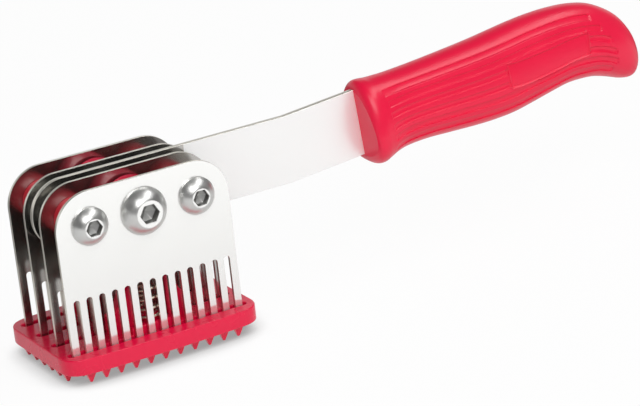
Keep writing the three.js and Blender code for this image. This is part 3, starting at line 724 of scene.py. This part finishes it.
def side_downs(height, panel_here):
    """How far down a section's points lie, from its top at 0 to its bottom at 1."""
    start_x, stop_x, x = panel_here
    inside = smooth((min(x - start_x, stop_x - x) + panel_border) / panel_border)
    lines = []
    for i, (share, _, _) in enumerate(grooves):
        line = [share + (edge + step * groove_wall) / height for edge, step in groove_steps]
        if inside > 0 and i in panel_grooves:
            upper = i == panel_grooves[0]
            edge = bowed(panel[0 if upper else 1], panel_here)
            steps = panel_steps if upper else [-step for step in reversed(panel_steps)]
            line = [a + (edge + step * MM / height - a) * inside for a, step in zip(line, steps)]
        lines.append(line)
    first = lines[0][0]
    last = lines[-1][-1]
    quarter = [math.pi / 2 * i / crown_points for i in range(crown_points + 1)]
    downs = [first * (1 - math.cos(angle)) for angle in quarter[:-1]]
    for line, after in zip(lines, lines[1:] + [None]):
        downs += line
        if after is not None:
            downs += [line[-1] + (after[0] - line[-1]) * i / ridge_steps for i in range(1, ridge_steps)]
    downs += [last + (1 - last) * math.sin(angle) for angle in quarter[1:]]
    return downs


lip_end_row = 5
lip_step = 0.04
grip_step = 0.045
tip_left_out = 0.06
least_height = 15 * MM
mouth_shares = (0.25, 0.8, 0.95, 0.985)
tip_share = 0.02


def grip_mesh():
    """The whole grip as one skin from its flat front face to the tip of the pommel."""
    places = [i * lip_step for i in range(int(lip_end_row / lip_step))]
    open_rows = int((last_row - lip_end_row - tip_left_out) / grip_step) + 1
    places += [lip_end_row + i * grip_step for i in range(open_rows)]

    def x_at(at, share):
        top, low, _ = grip_section(at)
        return (top + (low - top) * share).x

    limits = [(x_at(start * groove_rows, share), x_at(stop * groove_rows, share))
              for share, start, stop in grooves]
    middle = (panel[0] + panel[1]) / 2
    panel_limits = (x_at(panel[2] * groove_rows, middle), x_at(panel[3] * groove_rows, middle))
    rings = []
    for at in places:
        top, low, half = grip_section(at)
        height = (top - low).length
        grooves_here = [(a, b, x_at(at, share)) for (a, b), (share, _, _) in zip(limits, grooves)]
        panel_here = (*panel_limits, x_at(at, middle))
        taper = grip_taper + lip_taper * (1 - smooth(at / lip_rows))
        side = []
        for down in side_downs(max(height, least_height), panel_here):
            point = top + (low - top) * down
            wide = grip_width(1 - 2 * down, taper) * half - relief(down, height, grooves_here, panel_here)
            side.append((point.x, max(wide, 0), point.y))
        front = [(x, -y, z) for x, y, z in side]
        rings.append(front + side[-2:0:-1])
    first = rings[0]
    middle_z = sum(point[2] for point in first) / len(first)
    mouth = [[(x, y * share, middle_z + (z - middle_z) * share) for x, y, z in first]
             for share in mouth_shares]
    tip_top, _, _ = grip_section(last_row)
    rings.append([(tip_top.x, y * tip_share, tip_top.y) for _, y, _ in rings[-1]])
    return loft(mouth + rings)


# Glossy polypropylene: a strong, slightly bluish red whose gloss spreads the lamps into soft streaks.
handle_plastic = moulded_plastic("red_polypropylene_grip", "#F00A40", roughness=0.3, grain_mm=0.8,
                                 grain_depth_mm=0.03)
handle_gap = 0.3 * MM
handle_mesh = tidy_mesh(grip_mesh(), sharp_angle=50)
handle_mesh.transform(Matrix.Translation((shank_reach + handle_gap, 0, -shank_width / 2)))
handle_mesh.transform(Matrix.Rotation(-shank_angle, 4, "Y"))
place("moulded_handle", handle_mesh, Vector((head_middle.x + shank_bend_x, 0, plate_top)), "head",
      handle_plastic, "handle_plastic", "handle")

# Sprung base
# One glossy red moulding: a slab with bowed sides and a slot for each plate, rows of blunt spikes
# under it, and two slotted tongues that rise between the plates and ride on the centre sleeves.
base_low, base_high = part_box("stripper_base")
spike_height = 3.9 * MM
base_top = 9.5 * MM
base_half_length = (base_high.x - base_low.x) / 2
base_half_width = (base_high.y - base_low.y) / 2
base_bulge = 0.06
base_corner = 8 * MM
base_edge_round = 0.4 * MM
base_slot_width = 2.7 * MM
base_slot_length = 67.2 * MM
plate_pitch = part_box("blade_plate_2")[0].y - plate_low.y
plate_rows = [(i - 1.5) * plate_pitch for i in range(4)]


def bezier(a, b, c, steps):
    """Points of a quadratic curve from a to c, drawn towards b."""
    points = []
    for i in range(steps + 1):
        t = i / steps
        points.append(tuple(
            (1 - t) ** 2 * p + 2 * t * (1 - t) * q + t * t * r for p, q, r in zip(a, b, c)))
    return points


def base_outline():
    """The slab's edge from above: bowed long sides and full round corners."""
    bulge = base_half_width * base_bulge
    corner_x = base_half_length - base_corner
    bow = bulge * (corner_x / base_half_length) ** 2
    corner_y = base_half_width - bulge - base_corner
    start = (corner_x, base_half_width - bow)
    quarter = bezier((base_half_length, corner_y), (base_half_length, base_half_width - bulge), start,
                     steps=16)
    side = bezier(start, (0, base_half_width + bow), (-corner_x, base_half_width - bow), steps=28)
    rear = quarter + side[1:-1] + [(-x, y) for x, y in quarter[::-1]]
    return rear + [(-x, -y) for x, y in rear]


def slot_outline(y):
    end = base_slot_length / 2 - base_slot_width / 2
    half = base_slot_width / 2
    return arc(end, y, half, -90, 90, steps=8) + arc(-end, y, half, 90, 270, steps=8)


slab = cut_sheet("slab", [base_outline()] + [slot_outline(y) for y in plate_rows],
                 base_top - spike_height, base_edge_round, steps=4)
slab.transform(Matrix.Rotation(-math.pi / 2, 4, "X"))
slab.transform(Matrix.Translation((0, 0, (base_top + spike_height) / 2)))

spike_pitch = 5.57 * MM
spike_rows = 8
spikes_to_a_side = 6
spike_half_length = 1.9 * MM
spike_half_width = 1.55 * MM
spike_tip = 1 * MM
spike_edge = 0.18 * MM
# Heights up a spike, and how far its sides have spread there from the tip's width to the root's.
spike_levels = ((spike_height + 0.6 * MM, 1), (spike_height, 1), (0.25 * MM, 0.035), (0, -0.04))


def spike_rings(x, y):
    """A blunt four-sided spike with slightly rounded edges, from inside the slab down to its flat tip."""
    rings = []
    for z, spread in spike_levels:
        half_x = spike_tip / 2 + (spike_half_length - spike_tip / 2) * spread
        half_y = spike_tip / 2 + (spike_half_width - spike_tip / 2) * spread
        ring = []
        for sx, sy in ((1, 1), (-1, 1), (-1, -1), (1, -1)):
            a = (x + sx * half_x, y + sy * (half_y - spike_edge), z)
            b = (x + sx * (half_x - spike_edge), y + sy * half_y, z)
            ring += [a, b] if sx * sy > 0 else [b, a]
        rings.append(ring)
    return rings


spikes = []
for row in range(spike_rows):
    for column in range(-spikes_to_a_side, spikes_to_a_side + 1):
        if row in (0, spike_rows - 1) and abs(column) == spikes_to_a_side:
            continue
        y = (row - (spike_rows - 1) / 2) * plate_pitch / 2
        spikes.append(loft(spike_rings(column * spike_pitch, y)))

tongue_thickness = 5 * MM
tongue_edge_round = 0.35 * MM
tongue_foot = 15.2 * MM
tongue_set_in = 1 * MM
shoulder_start = base_top + 7 * MM
shoulder_bend = base_top + 11 * MM
shoulder_stop = base_top + 15 * MM
boss_radius = 9.8 * MM
boss_thickness = 9 * MM
boss_edge_round = 0.5 * MM
window = 6.3 * MM
sill = base_top + 2.5 * MM
seat_thickness = 9.9 * MM
seat_edge_round = 0.4 * MM
spigot_radius = 3.2 * MM
spigot_tip_radius = 2.9 * MM
spigot_top = sill + 2 * MM
spigot_edge = sill + 1.7 * MM
spigot_foot = sill - 1 * MM


def tongue_meshes(y):
    """Two posts round a window, the boss over it, the spring's seat on its sill, and the spigot."""
    foot_z = base_top - tongue_set_in
    shoulder = bezier((tongue_foot, shoulder_start), (boss_radius, shoulder_bend),
                      (boss_radius, shoulder_stop), steps=10)
    crown = arc(0, screw_height, boss_radius, 0, 180, steps=36)
    outer = [(tongue_foot, foot_z)] + shoulder + crown + [(-x, z) for x, z in shoulder[::-1]]
    outer.append((-tongue_foot, foot_z))
    hole = [(-window, sill), (window, sill)] + arc(0, screw_height, window, 0, 180, steps=24)
    posts = cut_sheet("posts", [outer, hole], tongue_thickness, tongue_edge_round, steps=3)
    gap = math.degrees(math.acos(window / boss_radius))
    boss_outline = arc(0, screw_height, boss_radius, -gap, 180 + gap, steps=60)
    boss_outline += arc(0, screw_height, window, 180, 0, steps=30)
    boss = cut_sheet("boss", [boss_outline], boss_thickness, boss_edge_round, steps=3)
    seat_side = window + tongue_thickness / 2
    seat_outline = [(-seat_side, foot_z), (seat_side, foot_z), (seat_side, sill), (-seat_side, sill)]
    seat = cut_sheet("seat", [seat_outline], seat_thickness, seat_edge_round, steps=3)
    spigot = turned([(closing_radius, spigot_top), (spigot_tip_radius, spigot_top),
                     (spigot_radius, spigot_edge), (spigot_radius, spigot_foot),
                     (closing_radius, spigot_foot)])
    spigot.transform(Matrix(((1, 0, 0, 0), (0, 0, 1, 0), (0, 1, 0, 0), (0, 0, 0, 1))))
    meshes = [posts, boss, seat, spigot]
    for mesh in meshes:
        mesh.transform(Matrix.Translation((0, y, 0)))
    return meshes


def join(meshes):
    """Several meshes as one."""
    work = bmesh.new()
    for mesh in meshes:
        work.from_mesh(mesh)
        bpy.data.meshes.remove(mesh)
    made = bpy.data.meshes.new("joined")
    work.to_mesh(made)
    work.free()
    return made


# The base: a shade deeper and glossier than the grip, so its rounded edges show as fine highlights.
base_plastic = moulded_plastic("red_moulded_base", "#E80A42", roughness=0.26, grain_mm=0.9,
                               grain_depth_mm=0.03)
tongues = [mesh for y in (-plate_pitch, plate_pitch) for mesh in tongue_meshes(y)]
moulding = tidy_mesh(join([slab] + spikes + tongues), sharp_angle=35)
place("spiked_base", moulding, head_middle, "stripper", base_plastic, "red_base_plastic", "stripper_base")

# Springs
# Compression springs of drawn steel wire, wound right-handed with closed ends ground flat.
# Each stands round a spigot on the tongue's sill and pushes up against the centre sleeve.
spring_low, spring_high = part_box("spring_front")
wire = 1 * MM
ground_off = 0.2 * wire
spring_radius = (spring_high.y - spring_low.y) / 2 - wire / 2
spring_turns = 10.5
spring_end_pitch = 1.5 * MM
spring_steps = 36
wire_sides = 14


def spring_mesh():
    """The wire along its coils: one closed turn at each end and an even pitch between them."""
    start = spring_low.z + wire / 2
    rise = spring_high.z - wire / 2 - start
    pitch = (rise - 2 * spring_end_pitch) / (spring_turns - 2)

    def height(turn):
        if turn < 1:
            return turn * spring_end_pitch
        if turn < spring_turns - 1:
            return spring_end_pitch + (turn - 1) * pitch
        return rise - (spring_turns - turn) * spring_end_pitch

    rings = []
    for i in range(int(spring_turns * spring_steps) + 1):
        turn = i / spring_steps
        angle = math.tau * turn
        ring = []
        for side in range(wire_sides):
            round_wire = math.tau * side / wire_sides
            radius = spring_radius + math.cos(round_wire) * wire / 2
            z = start + height(turn) + math.sin(round_wire) * wire / 2
            z = min(max(z, spring_low.z + ground_off), spring_high.z - ground_off)
            ring.append((radius * math.cos(angle), radius * math.sin(angle), z))
        rings.append(ring)
    return loft(rings)


# Drawn wire: a smooth, slightly yellow grey that shows each coil as a thin bright line.
spring_steel = plain_steel("drawn_spring_wire", "#E4DCCB", roughness=0.3, mark_mm=0.4)
for node in ("spring_front", "spring_rear"):
    # Each stands in the middle of its gap, one pitch from the middle of the shank.
    y = round(box_centre(node).y / plate_pitch) * plate_pitch
    at = Vector((head_middle.x, y, 0))
    mesh = tidy_mesh(spring_mesh(), sharp_angle=40)
    coil = place(f"{node}_coil", mesh, at, "head", spring_steel, "spring_steel", node)
    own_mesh(coil)

# Studio
# A white paper sweep in a dim room with a low white wall at the rear. A broad lamp stands high at the
# front left, and a narrow strip lamp above the right draws the long highlight on the grip.
# Its sizes are in metres, and its levels of light count pure white as 1.
floor_front = -0.42
floor_size = 6
# Levels painted onto the paper as the steel mirrors it, in front of the head, by it and behind it; then how
# far the painted shadow reaches and how dark it gets.
front_level = 1.14
head_level = 0.8
rear_level = 0.2
painted_shadow_reach = 0.022
painted_shadow_level = 0.35
white_share = 0.95
room_light = 0.56
ceiling_light = 0.12
room_dim = 0.18
rear_wall_level = 0.85
floor_mesh = bpy.data.meshes.new("floor")
floor_corners = [(-floor_size, floor_front, 0), (floor_size, floor_front, 0),
                 (floor_size, floor_size, 0), (-floor_size, floor_size, 0)]
floor_mesh.from_pydata(floor_corners, [], [(0, 1, 2, 3)])
floor = bpy.data.objects.new("floor", floor_mesh)
bpy.context.scene.collection.objects.link(floor)

# Matt paper: pure white but for a painted shadow of the object, taken from how much open sky each point
# has and darkest where they touch. What the polished steel mirrors of it is painted light and shade:
# bright in front of the head, darker by it and dim behind it.
floor_material, tree = new_material("white_paper_sweep")
ray = add(tree, "ShaderNodeLightPath").outputs
where = add(tree, "ShaderNodeTexCoord").outputs["Object"]
depth = add(tree, "ShaderNodeSeparateXYZ", Vector=where).outputs["Y"]
painted_front_light = add(tree, "ShaderNodeMapRange", Value=depth, From_Min=-0.18, From_Max=-0.02,
                To_Min=front_level, To_Max=head_level).outputs["Result"]
painted_rear_shade = add(tree, "ShaderNodeMapRange", Value=depth, From_Min=0.04, From_Max=0.11,
               To_Min=1, To_Max=rear_level).outputs["Result"]
mirrored = add(tree, "ShaderNodeMath", {"operation": "MULTIPLY"}, i0=painted_front_light, i1=painted_rear_shade).outputs[0]
# The painted shadow: the paper's white is darkened where little open sky reaches it.
sky_share = add(tree, "ShaderNodeAmbientOcclusion", {"samples": 16}, Distance=painted_shadow_reach).outputs["AO"]
painted_shadow = add(tree, "ShaderNodeMapRange", Value=sky_share, From_Min=0.2, From_Max=0.8,
             To_Min=painted_shadow_level, To_Max=1).outputs["Result"]
level = add(tree, "ShaderNodeMix", Factor=ray["Is Glossy Ray"], A=painted_shadow, B=mirrored).outputs["Result"]
seen = add(tree, "ShaderNodeMath", {"operation": "MAXIMUM"}, i0=ray["Is Camera Ray"],
           i1=ray["Is Glossy Ray"]).outputs[0]
share = add(tree, "ShaderNodeMath", {"operation": "MULTIPLY"}, i0=seen, i1=white_share).outputs[0]
paper = add(tree, "ShaderNodeBsdfDiffuse", Color=linear("#FAFAFA")).outputs["BSDF"]
white = add(tree, "ShaderNodeEmission", Color=linear("#FFFFFF"), Strength=level).outputs["Emission"]
mixed = add(tree, "ShaderNodeMixShader", Fac=share, i1=paper, i2=white).outputs["Shader"]
add(tree, "ShaderNodeOutputMaterial", Surface=mixed)
floor_mesh.materials.append(floor_material)

# The room: soft light that falls more from the sides than from above, and white behind the object.
world = bpy.data.worlds.new("studio")
world.use_nodes = True
world.node_tree.nodes.clear()
tree = world.node_tree
ray = add(tree, "ShaderNodeLightPath").outputs
where = add(tree, "ShaderNodeTexCoord").outputs["Generated"]
way = add(tree, "ShaderNodeSeparateXYZ", Vector=where).outputs
behind = add(tree, "ShaderNodeMapRange", {"interpolation_type": "SMOOTHSTEP"}, Value=way["Y"],
             From_Min=0.1, From_Max=0.6, To_Min=0, To_Max=rear_wall_level).outputs["Result"]
low = add(tree, "ShaderNodeMapRange", {"interpolation_type": "SMOOTHSTEP"}, Value=way["Z"],
          From_Min=0.36, From_Max=0.52, To_Min=1, To_Max=0).outputs["Result"]
rear_wall = add(tree, "ShaderNodeMath", {"operation": "MULTIPLY"}, i0=behind, i1=low).outputs[0]
room = add(tree, "ShaderNodeMath", {"operation": "MAXIMUM"}, i0=rear_wall, i1=room_dim).outputs[0]
soft_light = add(tree, "ShaderNodeMapRange", Value=way["Z"], From_Min=0.3, From_Max=0.9,
                 To_Min=room_light, To_Max=ceiling_light).outputs["Result"]
mirrored = add(tree, "ShaderNodeMix", Factor=ray["Is Glossy Ray"], A=soft_light, B=room).outputs["Result"]
strength = add(tree, "ShaderNodeMix", Factor=ray["Is Camera Ray"], A=mirrored, B=1).outputs["Result"]
background = add(tree, "ShaderNodeBackground", Color=linear("#FFFFFF"), Strength=strength)
add(tree, "ShaderNodeOutputWorld", Surface=background.outputs["Background"])
bpy.context.scene.world = world


def soft_lamp(name, location, target, wide, high, power):
    """A rectangular lamp that faces a point."""
    data = bpy.data.lights.new(name, "AREA")
    data.shape = "RECTANGLE"
    data.size = wide
    data.size_y = high
    data.energy = power
    lamp = bpy.data.objects.new(name, data)
    lamp.location = location
    lamp.rotation_euler = (Vector(target) - Vector(location)).to_track_quat("-Z", "Y").to_euler()
    bpy.context.scene.collection.objects.link(lamp)


soft_lamp("front_lamp", (-0.3, -1.05, 0.95), (0, 0, 0.06), wide=1, high=0.65, power=9)
soft_lamp("strip_lamp", (0.65, -0.45, 1.27), (0.08, 0, 0.08), wide=1.2, high=0.35, power=6)
bpy.context.scene.view_settings.view_transform = "Standard"
